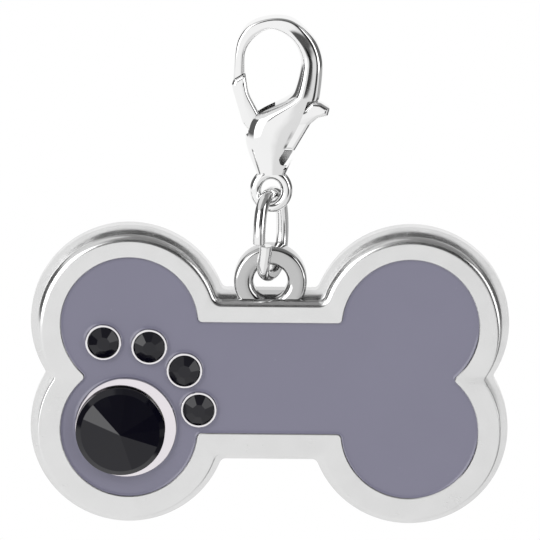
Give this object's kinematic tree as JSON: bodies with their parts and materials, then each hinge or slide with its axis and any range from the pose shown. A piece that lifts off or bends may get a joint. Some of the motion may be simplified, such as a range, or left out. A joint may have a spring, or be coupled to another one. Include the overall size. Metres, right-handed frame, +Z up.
{
  "type": "pet collar tag",
  "caption": "Bone-shaped cast pet tag with a coloured filling and a paw print of set black stones, hung by a jump ring from a lobster clasp.",
  "frame": {"origin": "inside top of the clasp's hook, where the collar's ring carries the tag", "axes": "+Z up, the tag hangs straight down from the origin; the tag's front, with the stones, faces -Y; +X to the right seen from the front, the side of the clasp's thumb tab"},
  "size_m": [0.04, 0.0066, 0.0433],
  "materials": {
    "tag_metal": "nickel-plated zinc casting, polished",
    "clasp_metal": "nickel-plated zinc casting, polished",
    "wire_metal": "nickel-plated wire, polished",
    "pin_steel": "plain steel",
    "grey_enamel": "violet-grey cast resin filling, glossy",
    "black_glass": "opaque black glass, faceted and polished",
    "clear_cement": "cured clear adhesive"
  },
  "bodies": {
    "clasp": {"clasp_body": "clasp_metal", "lever_pin": "pin_steel", "lever_spring": "pin_steel"},
    "lever": {"clasp_lever": "clasp_metal"},
    "jump_ring": {"jump_ring": "wire_metal"},
    "tag": {"tag_body": "tag_metal", "enamel_fill": "grey_enamel", "pad_stone": "black_glass", "pad_stone_bed": "clear_cement", "toe_stone_1": "black_glass", "toe_stone_2": "black_glass", "toe_stone_3": "black_glass", "toe_stone_4": "black_glass", "toe_stone_bed_1": "clear_cement", "toe_stone_bed_2": "clear_cement", "toe_stone_bed_3": "clear_cement", "toe_stone_bed_4": "clear_cement"}
  },
  "joints": [
    {"name": "gate_hinge", "type": "hinge", "parent": "clasp", "child": "lever", "pos_m": [-0.00038, 0, -0.0093], "axis": [0, 1, 0], "range_deg": [0, 28], "stiffness_Nm_per_rad": 0.002, "springref_deg": -28.65, "deforming": ["lever_spring"]},
    {"name": "ring_swing", "type": "hinge", "parent": "clasp", "child": "jump_ring", "pos_m": [0, 0, -0.01614], "axis": [-0.91, 0.4147, 0], "range_deg": [-40, 40]},
    {"name": "tag_swing", "type": "hinge", "parent": "jump_ring", "child": "tag", "pos_m": [0, 0, -0.02143], "axis": [0, 1, 0], "range_deg": [-30, 30]}
  ]
}
